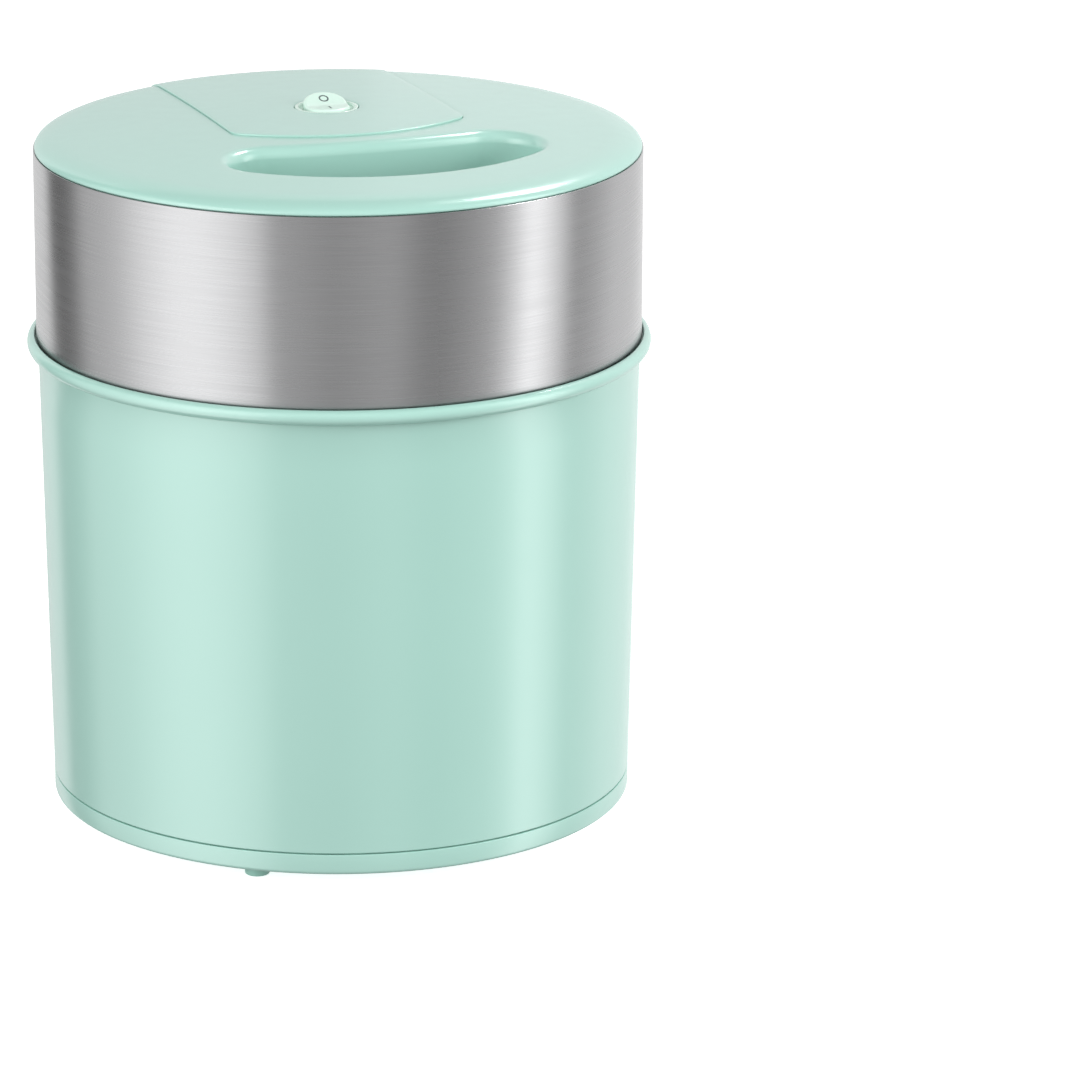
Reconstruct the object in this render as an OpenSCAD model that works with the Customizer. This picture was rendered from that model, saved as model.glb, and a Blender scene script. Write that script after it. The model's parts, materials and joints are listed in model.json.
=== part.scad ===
// Countertop ice cream maker: insulated housing, freezer bowl, and a drive head with an ingredient chute.
// Millimetres. +Z up, origin on the axis at the surface the feet stand on, chute towards -Y, cord entry at +Y.

/* [Housing] */
// Height of the feet
foot_h = 5; // [3:0.5:8]
// Height of the base plate's visible edge
base_h = 7.5; // [6:0.5:12]
// Outer radius at the bottom of the housing
housing_r_low = 100.5; // [98:0.5:102]
// Outer radius at the top of the housing, below the rim bead
housing_r_top = 103.4; // [103:0.2:105]
// Height of the rim's top edge
rim_z = 168.4; // [160:0.4:175]
// Outer radius of the rim bead
bead_r = 107.2; // [106.4:0.2:109]
// Wall thickness of the mouldings
wall = 2.2; // [1.8:0.2:2.8]

/* [Freezer bowl] */
// Radius of the bowl's cavity at its mouth
cavity_r_top = 70.5; // [68:0.5:72]
// Radius of the bowl's cavity at its floor
cavity_r_low = 66; // [62:0.5:68]
// Height of the cavity's floor
cavity_floor_z = 36; // [32:1:45]
// Outer radius of the bowl at its top
jacket_r_top = 94; // [90:0.5:94]
// Outer radius of the bowl at its bottom
jacket_r_low = 88; // [84:0.5:89]

/* [Drive head] */
// Outer radius of the steel band
band_r = 104; // [103:0.5:106]
// Height of the steel band's top edge
band_top_z = 233.3; // [225:0.5:240]
// Height of the head's highest point above the floor
total_h = 241.2; // [238:0.2:244]
// Width of the lid's rounded shoulder
shoulder_w = 14; // [9:0.5:20]
// Rise of the lid's crown between the shoulder and the centre
crown = 2.3; // [1:0.1:4]

/* [Ingredient chute] */
// Sideways place of the chute
chute_x = 4; // [2:0.5:4]
// Distance of the front wall's centre behind the axis
chute_y = 3; // [2:0.5:4]
// Radius of the chute's front wall
chute_front_r = 72.5; // [70:0.5:73]
// Distance of the back wall's middle in front of the axis
chute_back = 29; // [28:0.5:31]
// Radius of the chute's back wall
chute_back_r = 184; // [170:2:230]
// Radius of the chute's ends
chute_end_r = 14.5; // [13.5:0.5:15.5]
// Radius of the chute's soft lip
lip_r = 4; // [3:0.5:5]

/* [Motor cover] */
// Half of the width of the motor cover
panel_half_w = 41.5; // [39:0.5:43]
// Sideways place of the motor cover's middle
panel_x = 3; // [1:0.5:4]
// Distance of the motor cover's front edge in front of the axis
panel_front = 18.5; // [16:0.5:19]
// Radius of the motor cover's front edge
panel_arc_r = 62; // [58:1:75]
// Height of the motor cover above the lid round it
panel_step = 0.6; // [0.4:0.1:1]

/* [Switch] */
// Sideways place of the switch
switch_x = 4; // [2:0.5:6]
// Distance of the switch behind the axis
switch_y = 25.5; // [20:0.5:26]
// Radius of the switch's bezel
bezel_r = 11; // [10.4:0.1:12]
// Full travel of the rocker in degrees
rocker_travel = 24; // [16:1:26]

/* [Gears] */
// Teeth on each pinion
pinion_teeth = 12; // [12:1:12]
// Teeth on the output gear
output_teeth = 30; // [28:2:30]
// Teeth on each intermediate wheel
wheel_teeth = 36; // [34:2:36]

/* [Hidden] */
$fn = 96;

mint = [0.72, 0.92, 0.85];
steel = [0.72, 0.72, 0.73];
dark = [0.2, 0.2, 0.21];
pale = [0.9, 0.95, 0.93];
far = 300;                            // longer than anything it cuts
gap = 0.3;                            // clearance between parts that don't touch

// Housing
base_top_z = foot_h + base_h;
base_floor = 3;                       // thickness of the base plate
ledge_z = rim_z - 2.9;                // shelf inside the rim, under the steel band
bead_tube_r = bead_r - band_r - 0.6;
rim_in_r = band_r + 0.6;
housing_in_low = housing_r_low - wall;
housing_in_top = housing_r_top - wall;
rib_count = 8;
rib_w = 2.4;
ring_z = ledge_z - 13.5;              // underside of the bowl's rim ring
ring_h = 6;
ring_r = housing_in_top - 0.8;
rib_top_z = ring_z - gap;
key_w = 6.2;
key_in_r = 96.8;
boss_place_r = 94.4;
plate_boss_r = 3.4;
housing_boss_r = 4.6;
plate_skirt_h = 4;                    // spigot of the base plate inside the housing
boss_split_z = base_top_z + plate_skirt_h + 0.7;
foot_place_r = 88.5;
foot_angle = 8;                       // turn of the feet from the diagonals
foot_r = 4.5;

// Freezer bowl
jacket_z = foot_h + 13;
jacket_wall = 2;
liner_wall = 1.5;
flange_r = jacket_r_top - jacket_wall - 0.5;
flange_h = 1.2;
plug_r = 8;

// Drive head
tray_z = ring_z + ring_h + 1;         // underside of the head's tray
tray_floor = 2.5;
tray_top = tray_z + tray_floor;
tray_r = housing_in_top - 0.8;        // skirt that drops inside the housing
tray_wall_out = band_r - 0.7;
tray_wall_in = tray_wall_out - 2;
band_z = ledge_z + 0.7;
band_t = 0.6;
lid_r = band_r - 0.4;
lid_z = band_top_z + gap;
shoulder_h = total_h - panel_step - crown - lid_z;
crown_r = lid_r - shoulder_w;
cover_wall = 2.2;
post_place_r = 84;
post_angles = [35, 145, 215, 325];
post_z = 200;                         // where a tray post meets a cover boss

// Chute: the end circles touch the back arc from outside and the front arc from inside
chute_back_y = chute_back_r - chute_back;
chute_end_y = (pow(chute_back_y, 2) - pow(chute_y, 2) - pow(chute_back_r + chute_end_r, 2)
    + pow(chute_front_r - chute_end_r, 2)) / 2 / (chute_back_y - chute_y);
chute_end_x = sqrt(pow(chute_front_r - chute_end_r, 2) - pow(chute_end_y - chute_y, 2));
chute_wall = 2;

// Motor cover: the corner circles touch the straight sides and the front arc from inside
panel_corner_r = 6;
panel_arc_y = panel_arc_r - panel_front;
panel_corner_x = panel_half_w - panel_corner_r;
panel_corner_y = panel_arc_y - sqrt(pow(panel_arc_r - panel_corner_r, 2) - pow(panel_corner_x, 2));
seam = 0.25;

// Gear train: module 1, 20 degree teeth
pinion_r = pinion_teeth / 2;
output_r = output_teeth / 2;
wheel_r = wheel_teeth / 2;
wheel_add = 0.75;                     // short addendum that clears the 12-tooth pinions
pinion_add = 1;
root_depth = 1.15;
backlash = 0.12;
train_angle = 150;                    // direction in which the train runs back to the motor
second_pos = [0, output_r + pinion_r];
step_d = wheel_r + pinion_r;
first_pos = second_pos + step_d * [cos(train_angle), sin(train_angle)];
motor_pos = first_pos + step_d * [cos(train_angle), sin(train_angle)];
case_floor = 2;
level_a = tray_top + case_floor + 1.5;
face_a = 8;
level_b = level_a + face_a + 1.3;
face_b = 7;
level_c = level_b + face_b + 1.5;
face_c = 6;
case_lid_z = level_c + face_c + 1.5;
case_lid_h = 2.5;
motor_z = case_lid_z + case_lid_h;
case_wall = 1.8;
hub_r = 3.6;
axle_r = 2;
axle_fit = 0.05;
case_rooms = [[[0, 0], output_r + 1.6], [second_pos, wheel_r + 1.6],
    [first_pos, wheel_r + 1.6], [motor_pos, 11]];
lug_places = [second_pos + 24.6 * [cos(-10), sin(-10)], second_pos + 24.6 * [cos(75), sin(75)],
    first_pos + 24.6 * [cos(215), sin(215)]];

// Spindle and paddle
spindle_r = 4;
bush_r = 6.5;
case_boss_r = 8.5;
case_boss_z = tray_z - 3.5;
spindle_top = level_a + face_a + 0.5;
clip_z = case_boss_z - 1.2;
hex_r = 5;
hex_z = ring_z - 14;
hub_z = hex_z - 2;
hub_top = ring_z;
paddle_low_z = cavity_floor_z + 2;
paddle_top_z = hub_z + 4;
paddle_t = 5;
paddle_half_low = cavity_r_low - 5;
paddle_half_top = cavity_r_low - 2;

// Motor
motor_r = 19;
motor_h = 31;
motor_wall = 1.2;
shaft_r = 1.6;
motor_bush_r = 3.5;
core_r = 14.4;
commutator_r = 5;
end_cap_h = 3;

// Switch
panel_z = total_h - crown * pow(norm([switch_x, switch_y]) / crown_r, 2);
bezel_z = panel_z - 0.6;
pivot_z = bezel_z - 0.6;
rocker_r = 8.4;
rocker_half_w = 7.8;
valley_h = 1.7;
switch_hole_r = 9.4;
switch_low_z = bezel_z - 15;
terminal_z = switch_low_z - 8;

// Cord entry
gland_z = tray_top + 18.5;
gland_bore_r = 3.2;
gland_barrel_r = 6;
clamp_y = 86;
clamp_x = 11;
clamp_z = gland_z + gland_bore_r + 0.2;
lead_r = 1.1;
bend_r = 1.16;                        // the leads' bends are a little fatter than their runs

// Radius of the housing's inner face at height z
function housing_in(z) = housing_in_low
    + (housing_in_top - housing_in_low) * (z - base_top_z) / (ledge_z - base_top_z);

// Lid profile, moved inwards by d: an elliptical shoulder and then the crown
function lid_profile(d) = concat(
    [for (i = [0:8]) let (t = i * 90 / 8)
        [crown_r + (shoulder_w - d) * cos(t), lid_z + (shoulder_h - d) * sin(t)]],
    [for (i = [1:8]) let (r = crown_r * (1 - i / 8))
        [r, lid_z + shoulder_h - d + crown * (1 - pow(r / crown_r, 2))]]);

// Involute helpers: angle at the base circle, and the roll that reaches radius r
function involute_angle(base, r) = let (a = acos(min(1, base / r))) tan(a) * 180 / PI - a;
function tooth_flank(base, low, high, half, side) =
    [for (i = [0:5]) let (r = low + (high - low) * i / 5, a = half - involute_angle(base, max(r, base)))
        r * [cos(side * a), sin(side * a)]];

module ring(r_out, r_in, z, h) {
    translate([0, 0, z]) difference() {
        cylinder(r = r_out, h = h);
        translate([0, 0, -1]) cylinder(r = r_in, h = h + 2);
    }
}

module around(angles, r) {
    for (a = angles) rotate(a) translate([r, 0, 0]) children();
}

// Pan head screw with its head's seat at the origin and its shank along +Z
module screw(shank_r, length, head_r, head_h) {
    cylinder(r = shank_r, h = length, $fn = 32);
    translate([0, 0, -head_h]) difference() {
        cylinder(r = head_r, h = head_h, $fn = 48);
        translate([-head_r * 0.6, -0.4, -0.1]) cube([head_r * 1.2, 0.8, head_h * 0.5]);
        translate([-0.4, -head_r * 0.6, -0.1]) cube([0.8, head_r * 1.2, head_h * 0.5]);
    }
}

// Outline between two arcs with round ends
module chute2d(grow) {
    left = [-chute_end_x, chute_end_y];
    right = [chute_end_x, chute_end_y];
    front = [0, chute_y];
    back = [0, chute_back_y];
    translate([chute_x, 0]) {
        difference() {
            intersection() {
                translate(front) circle(r = chute_front_r + grow, $fn = 180);
                polygon([left, front + 1.5 * (left - front), front + 1.5 * (right - front), right,
                    back + 0.8 * (right - back), back + 0.8 * (left - back)]);
            }
            translate(back) circle(r = chute_back_r - grow, $fn = 360);
        }
        for (end = [left, right]) translate(end) circle(r = chute_end_r + grow);
    }
}

// Outline with parallel sides that run off the back, an arc at the front and round corners
module panel2d(grow) {
    side = panel_half_w + grow;
    lean = [panel_corner_x, panel_corner_y - panel_arc_y];
    translate([panel_x, 0]) {
        intersection() {
            translate([0, panel_arc_y]) circle(r = panel_arc_r + grow, $fn = 180);
            polygon([[-side, lid_r], [side, lid_r], [side, panel_corner_y], [panel_corner_x, panel_corner_y],
                [0, panel_arc_y] + 1.5 * lean, [0, panel_arc_y] + 1.5 * [-lean[0], lean[1]],
                [-panel_corner_x, panel_corner_y], [-side, panel_corner_y]]);
        }
        translate([-side, panel_arc_y]) square([2 * side, lid_r + 5 - panel_arc_y]);
        for (s = [-1, 1]) translate([s * panel_corner_x, panel_corner_y]) circle(r = panel_corner_r + grow);
    }
}

// Solid between two copies of the lid profile
module lid_shell(outer, inner) {
    rotate_extrude($fn = 180) polygon(concat(lid_profile(outer), [for (i = [16:-1:0]) lid_profile(inner)[i]]));
}

// Quadrilateral that joins two circles just inside their shared tangents
module tangent_quad(a, b, grow) {
    d = b[0] - a[0];
    turn = atan2(d[1], d[0]);
    lean = acos((a[1] - b[1]) / norm(d));
    ra = a[1] + grow - 0.1;
    rb = b[1] + grow - 0.1;
    polygon([a[0] + ra * [cos(turn + lean), sin(turn + lean)], b[0] + rb * [cos(turn + lean), sin(turn + lean)],
        b[0] + rb * [cos(turn - lean), sin(turn - lean)], a[0] + ra * [cos(turn - lean), sin(turn - lean)]]);
}

module case2d(grow) {
    for (room = case_rooms) translate(room[0]) circle(r = room[1] + grow);
    for (i = [0:2]) tangent_quad(case_rooms[i], case_rooms[i + 1], grow);
}

// Spur gear of module 1: turned so that a tooth points along +X at turn 0
module gear(teeth, add, z, h, turn) {
    pitch = teeth / 2;
    base = pitch * cos(20);
    root = pitch - root_depth;
    tip = pitch + add;
    half = 90 / teeth + involute_angle(base, pitch) - backlash / 2 / pitch * 180 / PI;
    translate([0, 0, z]) rotate(turn) linear_extrude(height = h) polygon([for (i = [0:teeth - 1])
        let (a = i * 360 / teeth, c = cos(a), s = sin(a))
        for (p = concat(tooth_flank(base, root, tip, half, -1),
            [for (k = [5:-1:0]) tooth_flank(base, root, tip, half, 1)[k]]))
        [p[0] * c - p[1] * s, p[0] * s + p[1] * c]]);
}

// Round lead that runs through a list of points
module lead(points) {
    for (i = [0:len(points) - 2]) {
        d = points[i + 1] - points[i];
        translate(points[i]) rotate([0, acos(d[2] / norm(d)), atan2(d[1], d[0])])
            cylinder(r = lead_r, h = norm(d), $fn = 24);
    }
    for (i = [1:1:len(points) - 2]) translate(points[i]) sphere(r = bend_r, $fn = 24);
}

// Housing

module housing_shell() {
    color(mint) {
        rotate_extrude($fn = 180) {
            polygon([[housing_in_low, base_top_z], [housing_r_low, base_top_z],
                [housing_r_top, ledge_z], [housing_in_top, ledge_z]]);
            difference() {
                translate([rim_in_r, rim_z - bead_tube_r]) circle(r = bead_tube_r, $fn = 48);
                translate([0, ledge_z]) square([rim_in_r, far]);
                square([housing_in_top, far]);
            }
        }
        difference() {
            for (i = [0:rib_count - 1]) rotate(i * 360 / rib_count) {
                translate([jacket_r_top + 1, -rib_w / 2, base_top_z + 6]) cube([6, rib_w, rib_top_z - base_top_z - 6]);
                if (i % 2 == 0) translate([key_in_r, -key_w / 2, rib_top_z - 8]) cube([5, key_w, 10.8]);
            }
            around([45:90:315], boss_place_r) translate([0, 0, boss_split_z - 1]) cylinder(r = 1.5, h = 11, $fn = 32);
            outside_housing();
        }
        difference() {
            around([45:90:315], boss_place_r) translate([0, 0, boss_split_z]) cylinder(r = housing_boss_r, h = 12, $fn = 48);
            around([45:90:315], boss_place_r) translate([0, 0, boss_split_z - 1]) cylinder(r = 1.5, h = 11, $fn = 32);
            outside_housing();
        }
    }
}

// Everything outside the middle of the housing's wall
module outside_housing() {
    rotate_extrude($fn = 180) polygon([[housing_in_low + 1, 0], [far, 0], [far, rim_z],
        [housing_in_top + 1, rim_z], [housing_in_top + 1, ledge_z], [housing_in_low + 1, base_top_z]]);
}

module base_plate() {
    edge = 2.5;
    skirt_r = housing_in_low - gap;
    seam_z = base_top_z - 0.4;
    color(mint) difference() {
        union() {
            rotate_extrude($fn = 180) {
                polygon([[0, foot_h], [housing_r_low - edge, foot_h], [housing_r_low - 0.7, foot_h + 0.8],
                    [housing_r_low, foot_h + edge], [housing_r_low, seam_z], [skirt_r, seam_z],
                    [skirt_r, base_top_z + plate_skirt_h], [skirt_r - 1.6, base_top_z + plate_skirt_h],
                    [skirt_r - 1.6, foot_h + base_floor], [0, foot_h + base_floor]]);
            }
            around([45:90:315], boss_place_r) translate([0, 0, foot_h + 1])
                cylinder(r = plate_boss_r, h = boss_split_z - foot_h - 1.3, $fn = 48);
        }
        around([45:90:315], boss_place_r) {
            translate([0, 0, foot_h - 1]) cylinder(r = 1.7, h = 20, $fn = 32);
            translate([0, 0, foot_h - 1]) cylinder(r = 2.6, h = 3.5, $fn = 32);
        }
        around([45 + foot_angle:90:360], foot_place_r) translate([0, 0, foot_h - 1])
            cylinder(r = 2.5, h = base_floor + 2, $fn = 32);
    }
}

module base_screws() {
    color(steel) around([45:90:315], boss_place_r) translate([0, 0, foot_h + 2.5]) screw(1.5, 18, 2.4, 2);
}

module feet() {
    color(mint) around([45 + foot_angle:90:360], foot_place_r) {
        rotate_extrude($fn = 48) {
            square([foot_r - 1.2, foot_h]);
            translate([0, 1.2]) square([foot_r, foot_h - 1.2]);
            translate([foot_r - 1.2, 1.2]) circle(r = 1.2, $fn = 32);
        }
        translate([0, 0, foot_h]) cylinder(r = 2.5, h = base_floor, $fn = 32);
        translate([0, 0, foot_h + base_floor]) cylinder(r = 3.2, h = 1, $fn = 32);
    }
}

// Freezer bowl

module bowl_jacket() {
    color("white") difference() {
        rotate_extrude($fn = 180) polygon([[0, jacket_z], [jacket_r_low - 3, jacket_z], [jacket_r_low, jacket_z + 3],
            [jacket_r_top, ring_z], [jacket_r_top - jacket_wall, ring_z],
            [jacket_r_low - jacket_wall, jacket_z + 3], [jacket_r_low - 4, jacket_z + jacket_wall],
            [0, jacket_z + jacket_wall]]);
        translate([0, 0, jacket_z - 1]) cylinder(r = plug_r, h = 5);
    }
}

module bowl_liner() {
    corner = 6;
    floor_z = cavity_floor_z - liner_wall;
    color("silver") rotate_extrude($fn = 180) {
        difference() {
            polygon([[0, floor_z], [cavity_r_low - corner, floor_z], [cavity_r_low + liner_wall, floor_z + corner],
                [cavity_r_top + liner_wall, ring_z], [flange_r, ring_z], [flange_r, ring_z + flange_h],
                [0, ring_z + flange_h]]);
            polygon([[0, cavity_floor_z], [cavity_r_low - corner, cavity_floor_z], [cavity_r_low, cavity_floor_z + corner],
                [cavity_r_top, ring_z + flange_h + 1], [0, ring_z + flange_h + 1]]);
        }
    }
}

module coolant_gel() {
    low = jacket_z + jacket_wall + gap;
    inner_low = cavity_r_low + liner_wall + 0.6;
    color("aqua") rotate_extrude($fn = 180) polygon([[0, low], [jacket_r_low - 5, low],
        [jacket_r_low - jacket_wall - 0.4, low + 2], [jacket_r_top - jacket_wall - 0.5, ring_z - 2],
        [cavity_r_top + liner_wall + 0.5, ring_z - 2], [inner_low, cavity_floor_z + 5],
        [cavity_r_low - 5.5, cavity_floor_z - liner_wall - gap], [0, cavity_floor_z - liner_wall - gap]]);
}

module bowl_rim_ring() {
    top = ring_z + ring_h;
    inner = cavity_r_top + 0.4;
    edge = 1.5;
    color("white") difference() {
        rotate_extrude($fn = 180) difference() {
            union() {
                polygon([[flange_r + 0.1, ring_z], [ring_r, ring_z], [ring_r, top], [inner + edge, top],
                    [inner, top - edge], [inner, ring_z + flange_h], [flange_r + 0.1, ring_z + flange_h]]);
                translate([inner + edge, top - edge]) circle(r = edge, $fn = 32);
            }
            translate([(inner + flange_r) / 2, ring_z + flange_h]) circle(r = 1.5, $fn = 32);
        }
        for (i = [0:3]) rotate(i * 90) translate([key_in_r - 0.4, -key_w / 2 - 0.4, ring_z - 1])
            cube([20, key_w + 0.8, ring_h + 2]);
    }
}

module bowl_seal() {
    middle = (cavity_r_top + 0.4 + flange_r) / 2;
    color("gray") rotate_extrude($fn = 180) intersection() {
        translate([middle, ring_z + flange_h]) circle(r = 1.5, $fn = 32);
        translate([middle - 3, ring_z + flange_h]) square([6, 3]);
    }
}

module fill_plug() {
    color("gray") {
        translate([0, 0, jacket_z]) cylinder(r = plug_r, h = jacket_wall);
    }
}

// Drive head: shells

module head_tray() {
    skirt_in = tray_r - 2;
    step_z = ledge_z + 0.5;
    color(mint) difference() {
        union() {
            rotate_extrude($fn = 180) polygon([[0, tray_z], [tray_r, tray_z], [tray_r, step_z], [tray_wall_out, step_z],
                [tray_wall_out, band_top_z - 1], [tray_wall_in, band_top_z - 1], [tray_wall_in, step_z + 2],
                [skirt_in, step_z + 2], [skirt_in, tray_top], [0, tray_top]]);
            for (i = [0:3]) rotate(i * 90) translate([key_in_r + 0.2, -key_w / 2, tray_z - 3.8])
                cube([tray_r - key_in_r - 0.5, key_w, 5]);
            around(post_angles, post_place_r) translate([0, 0, tray_z + 1]) cylinder(r = 5, h = post_z - tray_z - 1, $fn = 48);
            for (s = [-1, 1]) translate([s * clamp_x, clamp_y, tray_z + 1]) cylinder(r = 4, h = clamp_z - tray_z - 1, $fn = 48);
        }
        translate([0, 0, tray_z - 1]) linear_extrude(height = 10) chute2d(chute_wall + 0.2);
        translate([0, 0, tray_z - 1]) cylinder(r = case_boss_r + 0.1, h = 10);
        around(post_angles, post_place_r) {
            translate([0, 0, tray_z - 1]) cylinder(r = 3.2, h = post_z - 3 - tray_z + 1, $fn = 32);
            translate([0, 0, tray_z]) cylinder(r = 1.7, h = far, $fn = 32);
        }
        for (s = [-1, 1]) translate([s * clamp_x, clamp_y, clamp_z - 9]) cylinder(r = 1.25, h = 20, $fn = 32);
        for (p = lug_places) translate([p[0], p[1], tray_top - 1.6]) cylinder(r = 1.25, h = 10, $fn = 32);
        gland_cut(gland_barrel_r + 0.1);
    }
}

module gland_cut(r) {
    translate([0, tray_wall_in - 5, gland_z]) rotate([-90, 0, 0]) cylinder(r = r, h = 20, $fn = 64);
}

module steel_band() {
    color(steel) difference() {
        ring(band_r, band_r - band_t, band_z, band_top_z - band_z);
        gland_cut(gland_barrel_r + 0.1);
    }
}

module top_cover() {
    lip_z = lid_z + shoulder_h + crown * (1 - pow(chute_back / crown_r, 2));
    ledge_low = 3.8;
    color(mint) difference() {
        union() {
            difference() {
                lid_shell(0, cover_wall);
                translate([0, 0, lid_z - 5]) linear_extrude(height = 20) panel2d(seam);
            }
            // shelf that the motor cover rests on
            intersection() {
                lid_shell(1.8, ledge_low);
                translate([0, 0, lid_z - 8]) linear_extrude(height = 20) difference() {
                    panel2d(2.5);
                    panel2d(-3);
                }
            }
            // spigot inside the tray's wall
            difference() {
                ring(tray_wall_in - gap, tray_wall_in - 2.3, lid_z - 7, 7 + 3);
                lid_outside();
                translate([0, 0, lid_z + 0.5]) linear_extrude(height = 20) panel2d(1);
            }
            around(post_angles, post_place_r) translate([0, 0, post_z]) cylinder(r = 4.5, h = lid_z + 3.5 - post_z, $fn = 48);
            translate([0, 0, tray_z + 0.3]) linear_extrude(height = lip_z - tray_z - 2) chute2d(chute_wall);
            translate([0, 0, lip_z - lip_r - 3]) linear_extrude(height = lip_r + 1.1) chute2d(lip_r + 1.5);
        }
        around(post_angles, post_place_r) translate([0, 0, post_z - 1]) cylinder(r = 1.4, h = 16, $fn = 32);
        translate([0, 0, tray_z - 5]) linear_extrude(height = far) chute2d(0);
        // the lip opens out in steps that follow a quarter round
        for (a = [10:20:70]) translate([0, 0, lip_z - lip_r * (1 - sin(a))]) linear_extrude(height = 20)
            chute2d(lip_r * (1 - cos(a)));
    }
}

// Everything above the middle of the lid's wall
module lid_outside() {
    rotate_extrude($fn = 180) polygon(concat(lid_profile(1), [[0, lid_z + 60], [far, lid_z + 60], [far, lid_z]]));
}

module motor_cover() {
    color(mint) difference() {
        intersection() {
            lid_shell(-panel_step, 1.7);
            translate([0, 0, lid_z - 8]) linear_extrude(height = 30) panel2d(0);
        }
        translate([switch_x, switch_y, bezel_z]) cylinder(r = bezel_r + 0.15, h = 10);
        translate([switch_x, switch_y, bezel_z - 10]) cylinder(r = switch_hole_r + 0.15, h = 20);
    }
}

module cover_screws() {
    color(steel) around(post_angles, post_place_r) translate([0, 0, post_z - 3]) screw(1.4, 15, 2.8, 2.2);
}

module bowl_gasket() {
    color("gray") ring(80, 76, tray_z - 0.7, 0.7);
}

// Drive head: gear case

module gear_case() {
    top = case_lid_z - tray_top;
    color(dark) difference() {
        union() {
            translate([0, 0, tray_top]) linear_extrude(height = top) case2d(case_wall);
            for (p = lug_places) translate([p[0], p[1], tray_top]) cylinder(r = 4, h = top, $fn = 48);
            translate([0, 0, case_boss_z]) cylinder(r = case_boss_r, h = tray_top - case_boss_z + 1);
        }
        difference() {
            translate([0, 0, tray_top + case_floor]) linear_extrude(height = far) case2d(0);
            for (p = [second_pos, first_pos]) translate([p[0], p[1], tray_top]) cylinder(r = hub_r, h = case_floor + 1.2);
        }
        for (p = lug_places) translate([p[0], p[1], tray_top - 1]) cylinder(r = 1.5, h = far, $fn = 32);
        for (p = [second_pos, first_pos]) translate([p[0], p[1], tray_top + 0.8]) cylinder(r = axle_r, h = far, $fn = 48);
        translate([0, 0, case_boss_z - 1]) cylinder(r = bush_r, h = 20);
    }
}

module gear_case_lid() {
    color(dark) difference() {
        union() {
            translate([0, 0, case_lid_z]) linear_extrude(height = case_lid_h) case2d(case_wall);
            for (p = lug_places) translate([p[0], p[1], case_lid_z]) cylinder(r = 4, h = case_lid_h, $fn = 48);
        }
        for (p = lug_places) translate([p[0], p[1], case_lid_z - 1]) cylinder(r = 1.5, h = 10, $fn = 32);
        for (p = [second_pos, first_pos]) translate([p[0], p[1], case_lid_z - 1]) cylinder(r = axle_r, h = 3, $fn = 48);
        translate([motor_pos[0], motor_pos[1], case_lid_z - 1]) {
            cylinder(r = motor_bush_r + 0.4, h = 10, $fn = 48);
            around([90, 210], 8) cylinder(r = 1.4, h = 10, $fn = 32);
        }
    }
}

module case_screws() {
    color(steel) for (p = lug_places) translate([p[0], p[1], case_lid_z + case_lid_h]) mirror([0, 0, 1])
        screw(1.25, case_lid_z + case_lid_h - tray_top + 1.4, 2.6, 2);
}

module gear_axles() {
    low = tray_top + 0.8;
    color(steel) for (p = [second_pos, first_pos]) translate([p[0], p[1], low])
        cylinder(r = axle_r, h = case_lid_z + 1.9 - low, $fn = 48);
}

module spindle_bush() {
    color([0.75, 0.55, 0.25]) {
        ring(bush_r, spindle_r + axle_fit, case_boss_z + 2, tray_top + case_floor - case_boss_z - 2);
    }
}

module spindle_seal() {
    color(dark) ring(bush_r, spindle_r + gap, case_boss_z, 2);
}

// Drive head: motor

module motor_can() {
    color("silver") translate([motor_pos[0], motor_pos[1], motor_z]) difference() {
        cylinder(r = motor_r, h = motor_h);
        translate([0, 0, 1.5]) cylinder(r = motor_r - motor_wall, h = motor_h);
        translate([0, 0, -1]) cylinder(r = motor_bush_r, h = 5, $fn = 48);
        around([90, 210], 8) translate([0, 0, -1]) cylinder(r = 1.1, h = 5, $fn = 32);
    }
}

module motor_magnets() {
    color(dark) translate([motor_pos[0], motor_pos[1], motor_z + 5]) difference() {
        cylinder(r = motor_r - motor_wall, h = 22);
        translate([0, 0, -1]) cylinder(r = core_r + 0.6, h = 24);
        for (a = [0, 90]) rotate(a) translate([-30, a == 0 ? -2.5 : -3, -1]) cube([60, a == 0 ? 5 : 6, 24]);
    }
}

module motor_end_cap() {
    color(dark) translate([motor_pos[0], motor_pos[1], motor_z + motor_h]) difference() {
        cylinder(r = motor_r, h = end_cap_h);
        translate([0, 0, -1]) cylinder(r = motor_bush_r, h = end_cap_h + 2, $fn = 48);
        for (s = [-1, 1]) translate([s * 12 - 1.2, -1.2, -1]) cube([2.4, 2.4, end_cap_h + 2]);
    }
}

module motor_brushes() {
    top = motor_z + motor_h;
    color("black") for (s = [0, 180]) translate([motor_pos[0], motor_pos[1], 0]) rotate(s) {
        translate([commutator_r + 0.25, -1.5, top - 5]) cube([8, 3, 4.6]);
        translate([11.2, -0.8, top - 1]) cube([1.6, 1.6, end_cap_h + 4]);
    }
}

module motor_bushes() {
    color([0.75, 0.55, 0.25]) translate([motor_pos[0], motor_pos[1], 0]) {
        ring(motor_bush_r, shaft_r + axle_fit, case_lid_z + 1, 5.5);
        ring(motor_bush_r, shaft_r + axle_fit, motor_z + motor_h, end_cap_h);
    }
}

module motor_screws() {
    color(steel) translate([motor_pos[0], motor_pos[1], case_lid_z]) around([90, 210], 8) screw(1.1, 4, 2.2, 1.4);
}

// Drive head: electrical parts

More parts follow.
